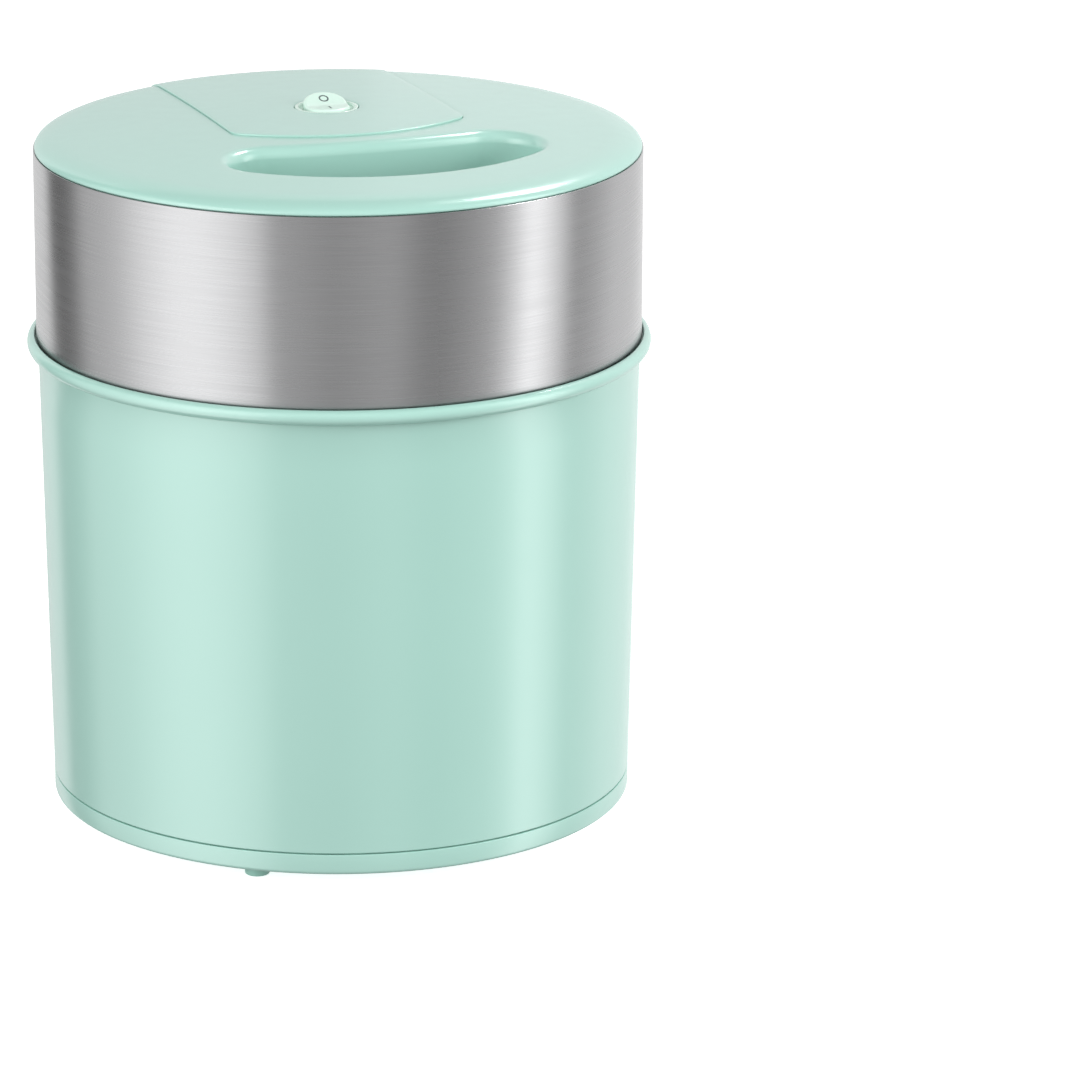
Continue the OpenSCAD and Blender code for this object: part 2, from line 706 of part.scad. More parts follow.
module switch_body() {
    color(pale) translate([switch_x, switch_y, 0]) difference() {
        union() {
            translate([0, 0, bezel_z - 1.2]) cylinder(r = switch_hole_r, h = 1.2);
            translate([0, 0, bezel_z]) cylinder(r = bezel_r, h = 0.5);
            translate([0, 0, switch_low_z]) cylinder(r = switch_hole_r, h = bezel_z - switch_low_z);
        }
        intersection() {
            translate([0, 0, bezel_z - 9]) cylinder(r = rocker_r + 0.6, h = 20);
            translate([-rocker_half_w - 0.3, -20, bezel_z - 9]) cube([2 * rocker_half_w + 0.6, 40, 20]);
        }
        translate([-20, 0, pivot_z]) rotate([0, 90, 0]) cylinder(r = 1, h = 40, $fn = 32);
    }
}

module switch_terminals() {
    color([0.85, 0.7, 0.4]) for (s = [-1, 1])
        translate([switch_x + s * 4.5 - 0.4, switch_y - 2.4, terminal_z]) cube([0.8, 4.8, switch_low_z - terminal_z]);
}

module cord_gland() {
    color(dark) translate([0, 0, gland_z]) rotate([-90, 0, 0]) rotate_extrude($fn = 64) difference() {
        union() {
            translate([gland_bore_r, tray_wall_in - 4.5]) square([gland_barrel_r - gland_bore_r, 10]);
            translate([gland_bore_r, tray_wall_in - 4.5]) square([8 - gland_bore_r, 3.6]);
            translate([gland_bore_r, band_r + 0.1]) square([6.6 - gland_bore_r, 2.7]);
            translate([gland_bore_r, band_r + 0.1]) square([8 - gland_bore_r, 1.3]);
            translate([6.6, band_r + 1.4]) circle(r = 1.4, $fn = 32);
        }
        translate([0, band_r + 2.8]) square([20, 10]);
    }
}

module cord_clamp() {
    color(dark) translate([0, clamp_y, clamp_z]) difference() {
        union() {
            translate([-clamp_x, -4, 0]) cube([2 * clamp_x, 8, 3]);
            for (s = [-1, 1]) translate([s * clamp_x, 0, 0]) cylinder(r = 4, h = 3, $fn = 48);
        }
        for (s = [-1, 1]) translate([s * clamp_x, 0, -1]) cylinder(r = 1.4, h = 6, $fn = 32);
    }
}

module clamp_screws() {
    color(steel) for (s = [-1, 1]) translate([s * clamp_x, clamp_y, clamp_z + 3]) mirror([0, 0, 1])
        screw(1.25, 10, 2.6, 2);
}

// Leads from the cord clamp to the switch and to the motor
module supply_leads() {
    color("saddlebrown") lead([[1.6, clamp_y - 6, gland_z], [10, 70, gland_z + 4], [16, 45, terminal_z - 14],
        [switch_x + 4.5, switch_y, terminal_z - 6], [switch_x + 4.5, switch_y, terminal_z]]);
    color("steelblue") lead([[-1.6, clamp_y - 6, gland_z], [-12, 72, gland_z + 8], [-16, 70, motor_z + motor_h - 2],
        [motor_pos[0] + 12, motor_pos[1] + 12, motor_z + motor_h + 8],
        [motor_pos[0] + 12, motor_pos[1], motor_z + motor_h + end_cap_h + 3]]);
}

module motor_leads() {
    color("saddlebrown") lead([[switch_x - 4.5, switch_y, terminal_z], [switch_x - 4.5, switch_y, terminal_z - 6],
        [motor_pos[0] + 10, motor_pos[1] - 24, motor_z + motor_h + 5],
        [motor_pos[0] - 12, motor_pos[1] - 16, motor_z + motor_h + 8],
        [motor_pos[0] - 12, motor_pos[1], motor_z + motor_h + end_cap_h + 3]]);
}

// Turning parts

module motor_shaft() {
    color(steel) translate([motor_pos[0], motor_pos[1], level_c - 0.8])
        cylinder(r = shaft_r, h = motor_z + motor_h + end_cap_h - level_c + 0.8, $fn = 48);
}

module rotor_core() {
    color([0.5, 0.3, 0.2]) translate([motor_pos[0], motor_pos[1], 0]) difference() {
        ring(core_r, shaft_r, motor_z + 6, 19);
        for (i = [0:4]) rotate(i * 72) translate([6, -1.2, motor_z + 5]) cube([20, 2.4, 21]);
    }
}

module commutator() {
    color([0.75, 0.45, 0.25]) translate([motor_pos[0], motor_pos[1], 0])
        ring(commutator_r, shaft_r, motor_z + motor_h - 5.5, 5);
}

// Turn of the pinion or wheel that meshes with one turned by `turn`, seen along direction `along`
function mesh_turn(turn, teeth, along, next_teeth) =
    along + 180 - 180 / next_teeth + (along - turn) * teeth / next_teeth;

second_pinion_turn = mesh_turn(0, output_teeth, 90, pinion_teeth);
first_pinion_turn = mesh_turn(0, wheel_teeth, train_angle, pinion_teeth);
motor_pinion_turn = mesh_turn(0, wheel_teeth, train_angle, pinion_teeth);

module motor_pinion() {
    color([0.75, 0.55, 0.25]) translate([motor_pos[0], motor_pos[1], 0]) difference() {
        gear(pinion_teeth, pinion_add, level_c - 0.5, face_c + 0.4, motor_pinion_turn);
        cylinder(r = shaft_r, h = far, $fn = 48);
    }
}

module first_gear() {
    compound(first_pos, first_pinion_turn, level_b, level_c, face_c);
}

module second_gear() {
    compound(second_pos, second_pinion_turn, level_a, level_b, face_b);
}

// A pinion under a wheel, with hubs that reach from the case's floor to its lid
module compound(place, pinion_turn, pinion_z, wheel_z, face) {
    low = tray_top + case_floor + 1.4;
    color("ivory") translate([place[0], place[1], 0]) difference() {
        union() {
            gear(pinion_teeth, pinion_add, pinion_z, wheel_z - pinion_z + 0.5, pinion_turn);
            gear(wheel_teeth, wheel_add, wheel_z, face, 0);
            translate([0, 0, low]) cylinder(r = hub_r, h = case_lid_z - 0.4 - low, $fn = 48);
        }
        cylinder(r = axle_r + axle_fit, h = far, $fn = 48);
    }
}

module output_gear() {
    color("ivory") difference() {
        union() {
            gear(output_teeth, wheel_add, level_a, face_a, 0);
            translate([0, 0, tray_top + case_floor + 0.4]) cylinder(r = 7, h = 2, $fn = 48);
        }
        cylinder(r = spindle_r, h = far);
    }
}

module drive_spindle() {
    color(steel) {
        translate([0, 0, clip_z - 2.5]) cylinder(r = spindle_r, h = spindle_top - clip_z + 2.5);
        translate([0, 0, hex_z]) cylinder(r = hex_r, h = clip_z - 2.5 - hex_z, $fn = 6);
    }
}

module spindle_clip() {
    color(dark) ring(bush_r, spindle_r, clip_z, 0.8);
}

module paddle() {
    rib = 7;
    foot = 7;
    mid_z = (paddle_low_z + paddle_top_z) / 2;
    color("white") difference() {
        union() {
            translate([0, paddle_t / 2, 0]) rotate([90, 0, 0]) linear_extrude(height = paddle_t) {
                difference() {
                    polygon([[-paddle_half_low + 5, paddle_low_z], [paddle_half_low - 5, paddle_low_z],
                        [paddle_half_low, paddle_low_z + 5], [paddle_half_top, paddle_top_z - 16],
                        [paddle_half_top - 8, paddle_top_z - 8], [10, paddle_top_z], [-10, paddle_top_z],
                        [-paddle_half_top + 8, paddle_top_z - 8], [-paddle_half_top, paddle_top_z - 16],
                        [-paddle_half_low, paddle_low_z + 5]]);
                    for (s = [-1, 1]) polygon([[s * rib / 2, paddle_low_z + foot],
                        [s * (paddle_half_low - rib), paddle_low_z + foot], [s * (paddle_half_top - rib), paddle_top_z - 20],
                        [s * (paddle_half_top - 16), paddle_top_z - 17], [s * rib / 2, paddle_top_z - 12]]);
                }
            }
            translate([0, 0, hub_z]) cylinder(r = 9, h = hub_top - hub_z, $fn = 64);
            translate([0, 0, paddle_low_z]) cylinder(r = rib / 2 + 1, h = hub_z - paddle_low_z + 1, $fn = 48);
            // angled scraping fins along both sides
            for (s = [0, 180]) rotate(s) translate([paddle_half_low - 2, 0, paddle_low_z + 7]) rotate(25)
                translate([-2, -9, 0]) cube([2.4, 18, mid_z - paddle_low_z + 20]);
        }
        translate([0, 0, hex_z]) cylinder(r = hex_r, h = far, $fn = 6);
    }
}

// Rocker with two faces that meet in a shallow valley. At rest its front side is pressed
module switch_rocker() {
    tilt = rocker_travel / 2;
    reach = 2 * rocker_r;
    color(pale) translate([switch_x, switch_y, pivot_z]) rotate([tilt, 0, 0]) union() {
        intersection() {
            translate([-rocker_half_w, 0, 0]) rotate([90, 0, 90]) linear_extrude(height = 2 * rocker_half_w)
                intersection() {
                    circle(r = rocker_r);
                    polygon([[0, valley_h], [reach, valley_h + reach * tan(tilt)], [reach, -3.5], [-reach, -3.5],
                        [-reach, valley_h + reach * tan(tilt)]]);
                }
            translate([0, 0, -10]) cylinder(r = rocker_r, h = 20);
        }
        translate([-switch_hole_r + 0.5, 0, 0]) rotate([0, 90, 0]) cylinder(r = 0.95, h = 2 * switch_hole_r - 1, $fn = 32);
    }
}

housing_shell();
base_plate();
base_screws();
feet();
bowl_jacket();
bowl_liner();
coolant_gel();
bowl_rim_ring();
bowl_seal();
fill_plug();
head_tray();
steel_band();
top_cover();
motor_cover();
cover_screws();
bowl_gasket();
gear_case();
gear_case_lid();
case_screws();
gear_axles();
spindle_bush();
spindle_seal();
motor_can();
motor_magnets();
motor_end_cap();
motor_brushes();
motor_bushes();
motor_screws();
switch_body();
switch_terminals();
cord_gland();
cord_clamp();
clamp_screws();
supply_leads();
motor_leads();
motor_shaft();
rotor_core();
commutator();
motor_pinion();
first_gear();
second_gear();
output_gear();
drive_spindle();
spindle_clip();
paddle();
switch_rocker();
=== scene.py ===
import json
from math import atan2, cos, degrees, pi, radians, sin, sqrt

import bmesh
import bpy
from mathutils import Matrix, Vector
from mathutils.geometry import delaunay_2d_cdt


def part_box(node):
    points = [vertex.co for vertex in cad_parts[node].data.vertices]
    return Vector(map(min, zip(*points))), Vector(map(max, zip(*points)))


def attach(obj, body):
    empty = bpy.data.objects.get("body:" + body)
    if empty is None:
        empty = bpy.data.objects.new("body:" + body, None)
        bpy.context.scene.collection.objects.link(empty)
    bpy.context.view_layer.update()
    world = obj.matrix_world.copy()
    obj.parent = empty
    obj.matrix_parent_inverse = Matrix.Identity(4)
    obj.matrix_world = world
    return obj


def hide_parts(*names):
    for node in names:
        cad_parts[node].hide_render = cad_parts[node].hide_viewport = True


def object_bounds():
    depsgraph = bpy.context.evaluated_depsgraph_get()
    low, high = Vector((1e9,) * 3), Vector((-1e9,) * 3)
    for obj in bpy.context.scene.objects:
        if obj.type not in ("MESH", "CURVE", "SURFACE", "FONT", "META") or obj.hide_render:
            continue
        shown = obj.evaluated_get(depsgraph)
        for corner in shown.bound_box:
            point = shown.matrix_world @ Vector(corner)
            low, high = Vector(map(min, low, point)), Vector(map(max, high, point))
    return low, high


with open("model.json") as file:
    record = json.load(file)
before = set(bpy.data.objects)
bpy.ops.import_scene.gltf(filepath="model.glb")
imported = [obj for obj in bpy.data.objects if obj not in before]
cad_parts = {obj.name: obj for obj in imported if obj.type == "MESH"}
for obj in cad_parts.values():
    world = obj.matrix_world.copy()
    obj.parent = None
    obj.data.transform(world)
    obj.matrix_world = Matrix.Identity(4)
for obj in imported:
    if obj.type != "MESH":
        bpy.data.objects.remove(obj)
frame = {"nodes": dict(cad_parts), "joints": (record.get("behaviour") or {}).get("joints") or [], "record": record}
cad_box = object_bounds()
nodes = frame["nodes"]
MM = 0.001

# ---------------------------------------------------------------- materials


class Shader:
    """A Principled material built node by node."""

    def __init__(self, name, **values):
        self.mat = bpy.data.materials.new(name)
        self.mat.use_nodes = True
        self.tree = self.mat.node_tree
        self.bsdf = self.tree.nodes["Principled BSDF"]
        for key, value in values.items():
            self.bsdf.inputs[key.replace("_", " ")].default_value = value

    def node(self, kind, **inputs):
        made = self.tree.nodes.new(kind)
        for key, value in inputs.items():
            self.feed(made, key.replace("_", " "), value)
        return made

    def feed(self, target, socket, value):
        if isinstance(value, bpy.types.NodeSocket):
            self.tree.links.new(value, target.inputs[socket])
        else:
            target.inputs[socket].default_value = value

    def coords(self):
        return self.node("ShaderNodeTexCoord").outputs["Object"]

    def noise(self, scale, detail=3.0, vector=None, roughness=0.5):
        made = self.node("ShaderNodeTexNoise", Scale=scale, Detail=detail, Roughness=roughness)
        self.feed(made, "Vector", vector or self.coords())
        return made.outputs["Fac"]

    def ramp(self, factor, *stops):
        made = self.node("ShaderNodeValToRGB", Fac=factor)
        elements = made.color_ramp.elements
        while len(elements) < len(stops):
            elements.new(0.5)
        for element, (place, color) in zip(elements, stops):
            element.position = place
            element.color = color if len(color) == 4 else (*color, 1)
        return made.outputs["Color"]

    def scale(self, factor, low, high):
        made = self.node("ShaderNodeMapRange")
        self.feed(made, "Value", factor)
        made.inputs["To Min"].default_value = low
        made.inputs["To Max"].default_value = high
        return made.outputs["Result"]

    def tint(self, color, factor, spread):
        """The base colour, a little darker and lighter with factor."""
        dark = tuple(c * (1 - spread) for c in color)
        light = tuple(min(1, c * (1 + spread)) for c in color)
        self.feed(self.bsdf, "Base Color", self.ramp(factor, (0.3, dark), (0.7, light)))

    def bump(self, height, strength, distance):
        made = self.node("ShaderNodeBump", Strength=strength, Distance=distance, Height=height)
        self.feed(self.bsdf, "Normal", made.outputs["Normal"])


def srgb(r, g, b):
    def linear(c):
        c /= 255
        return c / 12.92 if c <= 0.04045 else ((c + 0.055) / 1.055) ** 2.4
    return (linear(r), linear(g), linear(b))


def moulded(name, color, rough, grain=0.12, spread=0.015, ior=1.48, specular=0.5):
    """Injection-moulded plastic: faint flow in the colour, a fine satin texture and uneven gloss."""
    m = Shader(name, IOR=ior)
    m.bsdf.inputs["Specular IOR Level"].default_value = specular
    m.tint(color, m.noise(9, 2), spread)
    m.feed(m.bsdf, "Roughness", m.scale(m.noise(160, 4), rough - 0.03, rough + 0.05))
    m.bump(m.noise(2600, 2), grain, 0.00004)
    return m.mat


def metal(name, color, rough, grain=400):
    m = Shader(name, Metallic=1.0)
    m.tint(color, m.noise(60, 3), 0.05)
    m.feed(m.bsdf, "Roughness", m.scale(m.noise(grain, 4), rough - 0.05, rough + 0.09))
    m.bump(m.noise(grain * 3, 3), 0.15, 0.00003)
    return m.mat


def brushed_steel():
    """Fine scratches that run round the band: long noise along the circumference, tight across it."""
    m = Shader("brushed_steel", Metallic=1.0, Anisotropic=0.7)
    m.bsdf.inputs["Anisotropic Rotation"].default_value = 0.25
    place = m.node("ShaderNodeSeparateXYZ", Vector=m.coords())
    turn = m.node("ShaderNodeMath", Value=place.outputs["X"])
    turn.operation = "ARCTAN2"
    m.tree.links.new(place.outputs["Y"], turn.inputs[1])
    unrolled = m.node("ShaderNodeCombineXYZ", X=turn.outputs[0], Y=place.outputs["Z"])

    def grain(along, across, detail):
        spread = m.node("ShaderNodeMapping", Scale=(along, across, 1))
        m.feed(spread, "Vector", unrolled.outputs["Vector"])
        return m.noise(1, detail, spread.outputs["Vector"], 0.6)

    fine = grain(3.0, 5200, 4)
    broad = grain(0.9, 700, 3)
    m.feed(m.bsdf, "Base Color", m.ramp(fine, (0.3, srgb(161, 161, 162)), (0.7, srgb(173, 173, 174))))
    m.feed(m.bsdf, "Roughness", m.scale(broad, 0.2, 0.36))
    tangent = m.node("ShaderNodeTangent")
    tangent.direction_type = "RADIAL"
    tangent.axis = "Z"
    m.feed(m.bsdf, "Tangent", tangent.outputs["Tangent"])
    m.bump(fine, 0.04, 0.00003)
    return m.mat


MINT = srgb(165, 209, 197)
MATERIALS = {
    "mint_plastic": moulded("mint_plastic", MINT, 0.22, ior=1.8, specular=0.65),
    "mint_feet": moulded("mint_feet", srgb(158, 206, 192), 0.5, 0.4),
    "steel": brushed_steel(),
    "screw_steel": metal("screw_steel", srgb(170, 172, 176), 0.28),
    "aluminium": metal("aluminium", srgb(205, 207, 210), 0.3, 900),
    "white_plastic": moulded("white_plastic", srgb(216, 219, 218), 0.38),
    "gel": moulded("gel", srgb(170, 205, 225), 0.3),
    "silicone": moulded("silicone", srgb(205, 210, 208), 0.5, 0.3),
    "black_rubber": moulded("black_rubber", srgb(34, 34, 36), 0.55, 0.4, 0.1),
    "case_plastic": moulded("case_plastic", srgb(52, 53, 56), 0.45, 0.35, 0.08),
    "gear_plastic": moulded("gear_plastic", srgb(236, 232, 214), 0.35),
    "bronze": metal("bronze", srgb(176, 134, 84), 0.4, 1500),
    "brass": metal("brass", srgb(214, 184, 118), 0.25),
    "shaft_steel": metal("shaft_steel", srgb(190, 191, 194), 0.18, 900),
    "can_steel": metal("can_steel", srgb(176, 178, 182), 0.35, 500),
    "magnet": moulded("magnet", srgb(58, 58, 62), 0.5, 0.5, 0.15),
    "core": metal("core", srgb(150, 92, 58), 0.45, 1800),
    "carbon": moulded("carbon", srgb(30, 30, 31), 0.6, 0.6, 0.2),
    "copper": metal("copper", srgb(206, 138, 96), 0.25, 900),
    "switch_plastic": moulded("switch_plastic", srgb(214, 240, 228), 0.2, ior=1.7),
    "lead_sleeve": moulded("lead_sleeve", srgb(120, 66, 38), 0.45),
}


def dress_cad_nodes():
    for part in frame["record"]["subparts"]:
        for slot in nodes[part["node"]].material_slots:
            slot.material = MATERIALS[part["material_slot"]]


dress_cad_nodes()

# ---------------------------------------------------------------- mesh helpers


def finish_piece(name, bm, body, slot, replaced=(), smooth_angle=35, sheet=False):
    """Turns a bmesh in millimetres into a piece that rides on a body. The largest faces of a sheet look up."""
    bmesh.ops.remove_doubles(bm, verts=bm.verts, dist=0.0005)
    bmesh.ops.recalc_face_normals(bm, faces=bm.faces)
    if sheet and sum(f.normal.z * f.calc_area() for f in bm.faces) < 0:
        bmesh.ops.reverse_faces(bm, faces=bm.faces)
    bmesh.ops.scale(bm, vec=(MM, MM, MM), verts=bm.verts)
    mesh = bpy.data.meshes.new(name)
    bm.to_mesh(mesh)
    bm.free()
    mesh.shade_smooth()
    mesh.set_sharp_from_angle(angle=radians(smooth_angle))
    mesh.materials.append(MATERIALS[slot])
    piece = bpy.data.objects.new(name, mesh)
    bpy.context.scene.collection.objects.link(piece)
    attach(piece, body)
    if replaced:
        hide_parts(*replaced)
    return piece


def bridge(bm, low, high, closed=True):
    """Quads between two rows of vertices."""
    count = len(low)
    for i in range(count if closed else count - 1):
        j = (i + 1) % count
        corners = []
        for v in (low[i], low[j], high[j], high[i]):
            if v not in corners:
                corners.append(v)
        if len(corners) > 2 and bm.faces.get(corners) is None:
            bm.faces.new(corners)


def circle_row(bm, radius, height, turns, centre=(0, 0)):
    """A level circle of vertices."""
    return [bm.verts.new((centre[0] + radius * cos(2 * pi * i / turns),
                          centre[1] + radius * sin(2 * pi * i / turns), height)) for i in range(turns)]


def revolve(bm, profile, turns=256, centre=(0, 0)):
    """Closed profile of (radius, height) points, turned about a vertical axis. Radius 0 closes on the axis."""
    rows = []
    for r, z in profile:
        rows.append(circle_row(bm, r, z, turns, centre) if r > 0 else [bm.verts.new((*centre, z))] * turns)
    for low, high in zip(rows, rows[1:] + rows[:1]):
        if low[0] is low[1] and high[0] is high[1]:
            continue
        bridge(bm, low, high)


def rounded(points, radius, steps=5):
    """The same closed profile with its corners rounded. radius is one number, or one for each corner."""
    result = []
    count = len(points)
    for i, p in enumerate(points):
        r = radius[i] if isinstance(radius, (list, tuple)) else radius
        before, here, after = (Vector(points[(i + k) % count]) for k in (-1, 0, 1))
        if r <= 0 or here.x <= 0:
            result.append(tuple(here))
            continue
        into, out = (before - here).normalized(), (after - here).normalized()
        turn = into.angle(out)
        half = 0.49            # of each side, so that two rounded corners never meet
        reach = min(r / max(1e-6, sin(turn / 2) / cos(turn / 2)),
                    (before - here).length * half, (after - here).length * half)
        radius_here = reach * sin(turn / 2) / cos(turn / 2)
        start, middle = here + into * reach, (into + out).normalized()
        centre = here + middle * (radius_here / sin(turn / 2))
        a = start - centre
        b = here + out * reach - centre
        sweep = a.angle_signed(b)
        for k in range(steps + 1):
            turned = a.copy()
            turned.rotate(Matrix.Rotation(-sweep * k / steps, 2))
            result.append(tuple(centre + turned))
    return result


def mm(point):
    return tuple(c / MM for c in point)


# ---------------------------------------------------------------- sizes, in millimetres, from the frame

housing_low, housing_high = (mm(c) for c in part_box("housing_shell"))
base_low, base_high = (mm(c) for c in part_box("base_plate"))
band_low, band_high = (mm(c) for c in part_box("steel_band"))
cover_low, cover_high = (mm(c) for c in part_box("top_cover"))
jacket_low, jacket_high = (mm(c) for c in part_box("bowl_jacket"))
panel_low, panel_high = (mm(c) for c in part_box("motor_cover"))
rocker_pivot = mm(next(j for j in frame["joints"] if j["name"] == "switch_rock")["pos_m"])

WALL = 2.2
BAND_R = band_high[0]
BAND_TOP = band_high[2]
BAND_LOW = band_low[2]
BAND_T = 0.6
RIM_Z = housing_high[2]
LEDGE_Z = RIM_Z - 2.9
BEAD_R = housing_high[0]
BEAD_TUBE = BEAD_R - BAND_R - 0.6
HOUSING_LOW_Z = housing_low[2]
HOUSING_R_LOW = base_high[0]
HOUSING_R_TOP = BAND_R - 0.6

LID_R = cover_high[0]
LID_Z = BAND_TOP + 0.3
SHOULDER_W = 14.0
CROWN = 2.3
PANEL_STEP = 0.6
SHOULDER_H = cover_high[2] - CROWN - LID_Z
CHUTE_X = 4.0
CHUTE_Y = 3.0
CHUTE_FRONT_R = 72.5
CHUTE_BACK = 29.0
CHUTE_BACK_R = 184.0
CHUTE_BACK_Y = CHUTE_BACK_R - CHUTE_BACK
CHUTE_END_R = 14.5
CHUTE_END_Y = (CHUTE_BACK_Y ** 2 - CHUTE_Y ** 2 - (CHUTE_BACK_R + CHUTE_END_R) ** 2
               + (CHUTE_FRONT_R - CHUTE_END_R) ** 2) / 2 / (CHUTE_BACK_Y - CHUTE_Y)
CHUTE_END_X = sqrt((CHUTE_FRONT_R - CHUTE_END_R) ** 2 - (CHUTE_END_Y - CHUTE_Y) ** 2)
CHUTE_LOW = cover_low[2]
LIP_R = 4.0
PANEL_HALF = (panel_high[0] - panel_low[0]) / 2
PANEL_X = (panel_high[0] + panel_low[0]) / 2
PANEL_FRONT = -panel_low[1]
PANEL_ARC_R = 62.0
PANEL_ARC_Y = PANEL_ARC_R - PANEL_FRONT
PANEL_CORNER_R = 6.0
PANEL_CORNER_X = PANEL_HALF - PANEL_CORNER_R
PANEL_CORNER_Y = PANEL_ARC_Y - sqrt((PANEL_ARC_R - PANEL_CORNER_R) ** 2 - PANEL_CORNER_X ** 2)
SEAM = 0.14
RING_Z = LEDGE_Z - 13.5        # underside of the bowl's rim ring
RIB_COUNT, RIB_W = 8, 2.4
KEY_IN_R, KEY_W = 96.8, 6.2
BOSS_PLACE_R, BOSS_TURNS = 94.4, 48
BOSS_SPLIT_Z = HOUSING_LOW_Z + 4.7
SWITCH_X, SWITCH_Y, PIVOT_Z = rocker_pivot
BEZEL_R = 11.0

# ---------------------------------------------------------------- the lid

# The shoulder is a quarter ellipse. It ends where its slope is the crown's, so the two run on without a crease.
SHOULDER_TURNS = [i * 7.5 for i in range(11)] + [80, 82.6]
CROWN_EDGE = LID_R - SHOULDER_W * (1 - cos(radians(SHOULDER_TURNS[-1])))
CROWN_EDGE_Z = LID_Z + SHOULDER_H * sin(radians(SHOULDER_TURNS[-1]))
CROWN_TOP_Z = cover_high[2]


def lid_height(x, y, rise=0.0):
    """Height of the lid's surface, or of one that stands `rise` above it."""
    r = sqrt(x * x + y * y)
    if r <= CROWN_EDGE:
        return rise + CROWN_TOP_Z - (CROWN_TOP_Z - CROWN_EDGE_Z) * (r / CROWN_EDGE) ** 2
    across = min(1.0, (r - LID_R + SHOULDER_W) / (SHOULDER_W + rise))
    return LID_Z + (SHOULDER_H + rise) * sqrt(max(0.0, 1 - across * across))


def arc(centre, radius, start, end, count):
    return [(centre[0] + radius * cos(radians(start + (end - start) * i / count)),
             centre[1] + radius * sin(radians(start + (end - start) * i / count))) for i in range(count)]


def chute_outline(grow):
    """Closed outline, anticlockwise from the back's right end."""
    back_lean = degrees(atan2(CHUTE_END_Y - CHUTE_BACK_Y, CHUTE_END_X))
    front_lean = degrees(atan2(CHUTE_Y - CHUTE_END_Y, CHUTE_END_X))
    back = arc((0, CHUTE_BACK_Y), CHUTE_BACK_R - grow, back_lean, -180 - back_lean, 36)
    left = arc((-CHUTE_END_X, CHUTE_END_Y), CHUTE_END_R + grow, -back_lean, 180 + front_lean, 30)
    front = arc((0, CHUTE_Y), CHUTE_FRONT_R + grow, 180 + front_lean, 360 - front_lean, 54)
    right = arc((CHUTE_END_X, CHUTE_END_Y), CHUTE_END_R + grow, -front_lean, 180 + back_lean, 30)
    return [(x + CHUTE_X, y) for x, y in back + left + front + right]


def panel_outline(grow, rise=0.0):
    """Open outline of the motor cover, from the lid's edge at the right, round the front, to the left edge."""
    side = PANEL_HALF + grow
    lean = degrees(atan2(PANEL_CORNER_Y - PANEL_ARC_Y, PANEL_CORNER_X))
    rings = [LID_R - SHOULDER_W + (SHOULDER_W + rise) * cos(radians(t)) for t in SHOULDER_TURNS]

    def edge(x):
        flat_end = sqrt(rings[-1] ** 2 - x * x)
        return ([(x, sqrt(r * r - x * x)) for r in rings[:-1]]
                + [(x, flat_end + (PANEL_CORNER_Y - flat_end) * i / 24) for i in range(24)])

    front = (arc((PANEL_CORNER_X, PANEL_CORNER_Y), PANEL_CORNER_R + grow, 0, lean, 10)
             + arc((0, PANEL_ARC_Y), PANEL_ARC_R + grow, lean, -180 - lean, 40)
             + arc((-PANEL_CORNER_X, PANEL_CORNER_Y), PANEL_CORNER_R + grow, -180 - lean, -180, 10))
    right = edge(side + PANEL_X)
    left = [(x + PANEL_X, y) for x, y in front]
    return right + left + [(-side + PANEL_X, PANEL_CORNER_Y)] + edge(-side + PANEL_X)[::-1]


def inside(point, outline):
    x, y = point
    odd = False
    for (x0, y0), (x1, y1) in zip(outline, outline[1:] + outline[:1]):
        if (y0 > y) != (y1 > y) and x < (x1 - x0) * (y - y0) / (y1 - y0) + x0:
            odd = not odd
    return odd


def clear_of(point, outline, distance):
    x, y = point
    return all((x - a) ** 2 + (y - b) ** 2 > distance * distance for a, b in outline)


def fill(bm, loops, rings, keep, height, spacing=3.0):
    """Triangulates the plan between closed loops and lifts it to height. The rings stay as edges."""
    points, edges = [], []
    margin = 1.6               # least distance from a loop to a point of the lattice inside

    def add(path, closed):
        first = len(points)
        points.extend(path)
        last = len(points) - 1
        edges.extend((i, i + 1) for i in range(first, last))
        if closed:
            edges.append((last, first))

    for loop in loops:
        add(loop, True)
    for ring in rings:
        add(ring, False)
    fence = [p for loop in loops for p in loop]
    rows = int(CROWN_EDGE / spacing)
    for j in range(-rows, rows + 1):
        for i in range(-rows - 1, rows + 2):
            p = ((i + 0.5 * (j % 2)) * spacing, j * spacing * 0.866)
            if p[0] ** 2 + p[1] ** 2 < (CROWN_EDGE - margin) ** 2 and keep(p) and clear_of(p, fence, margin):
                points.append(p)
    verts, _, faces = delaunay_2d_cdt([Vector(p) for p in points], edges, [], 0, 1e-5)[:3]
    made = [None] * len(verts)
    for face in faces:
        centre = sum((verts[i] for i in face), Vector((0, 0))) / len(face)
        if not keep(tuple(centre)):
            continue
        for i in face:
            if made[i] is None:
                made[i] = bm.verts.new((verts[i].x, verts[i].y, height(verts[i].x, verts[i].y)))
        bm.faces.new([made[i] for i in face])


def edge_rows(bm, outline, height, steps, closed):
    """Rows along an outline that moves by (grow, drop) steps, bridged into a rolled edge and a wall."""
    rows = []
    for grow, drop in steps:
        rows.append([bm.verts.new((x, y, height(x, y) - drop)) for x, y in outline(grow)])
    for low, high in zip(rows, rows[1:]):
        bridge(bm, low, high, closed)
    return rows


def quarter(radius, count=8):
    """(inward move, drop) along a quarter round, from its top edge to its wall."""
    turns = [radians(90 * i / count) for i in range(count + 1)]
    return [(radius * sin(turn), radius * (1 - cos(turn))) for turn in turns]


def thicken(piece, depth):
    """Gives a sheet its wall thickness, inwards."""
    solid = piece.modifiers.new("wall", "SOLIDIFY")
    solid.thickness = depth * MM
    solid.offset = -1
    solid.use_quality_normals = True


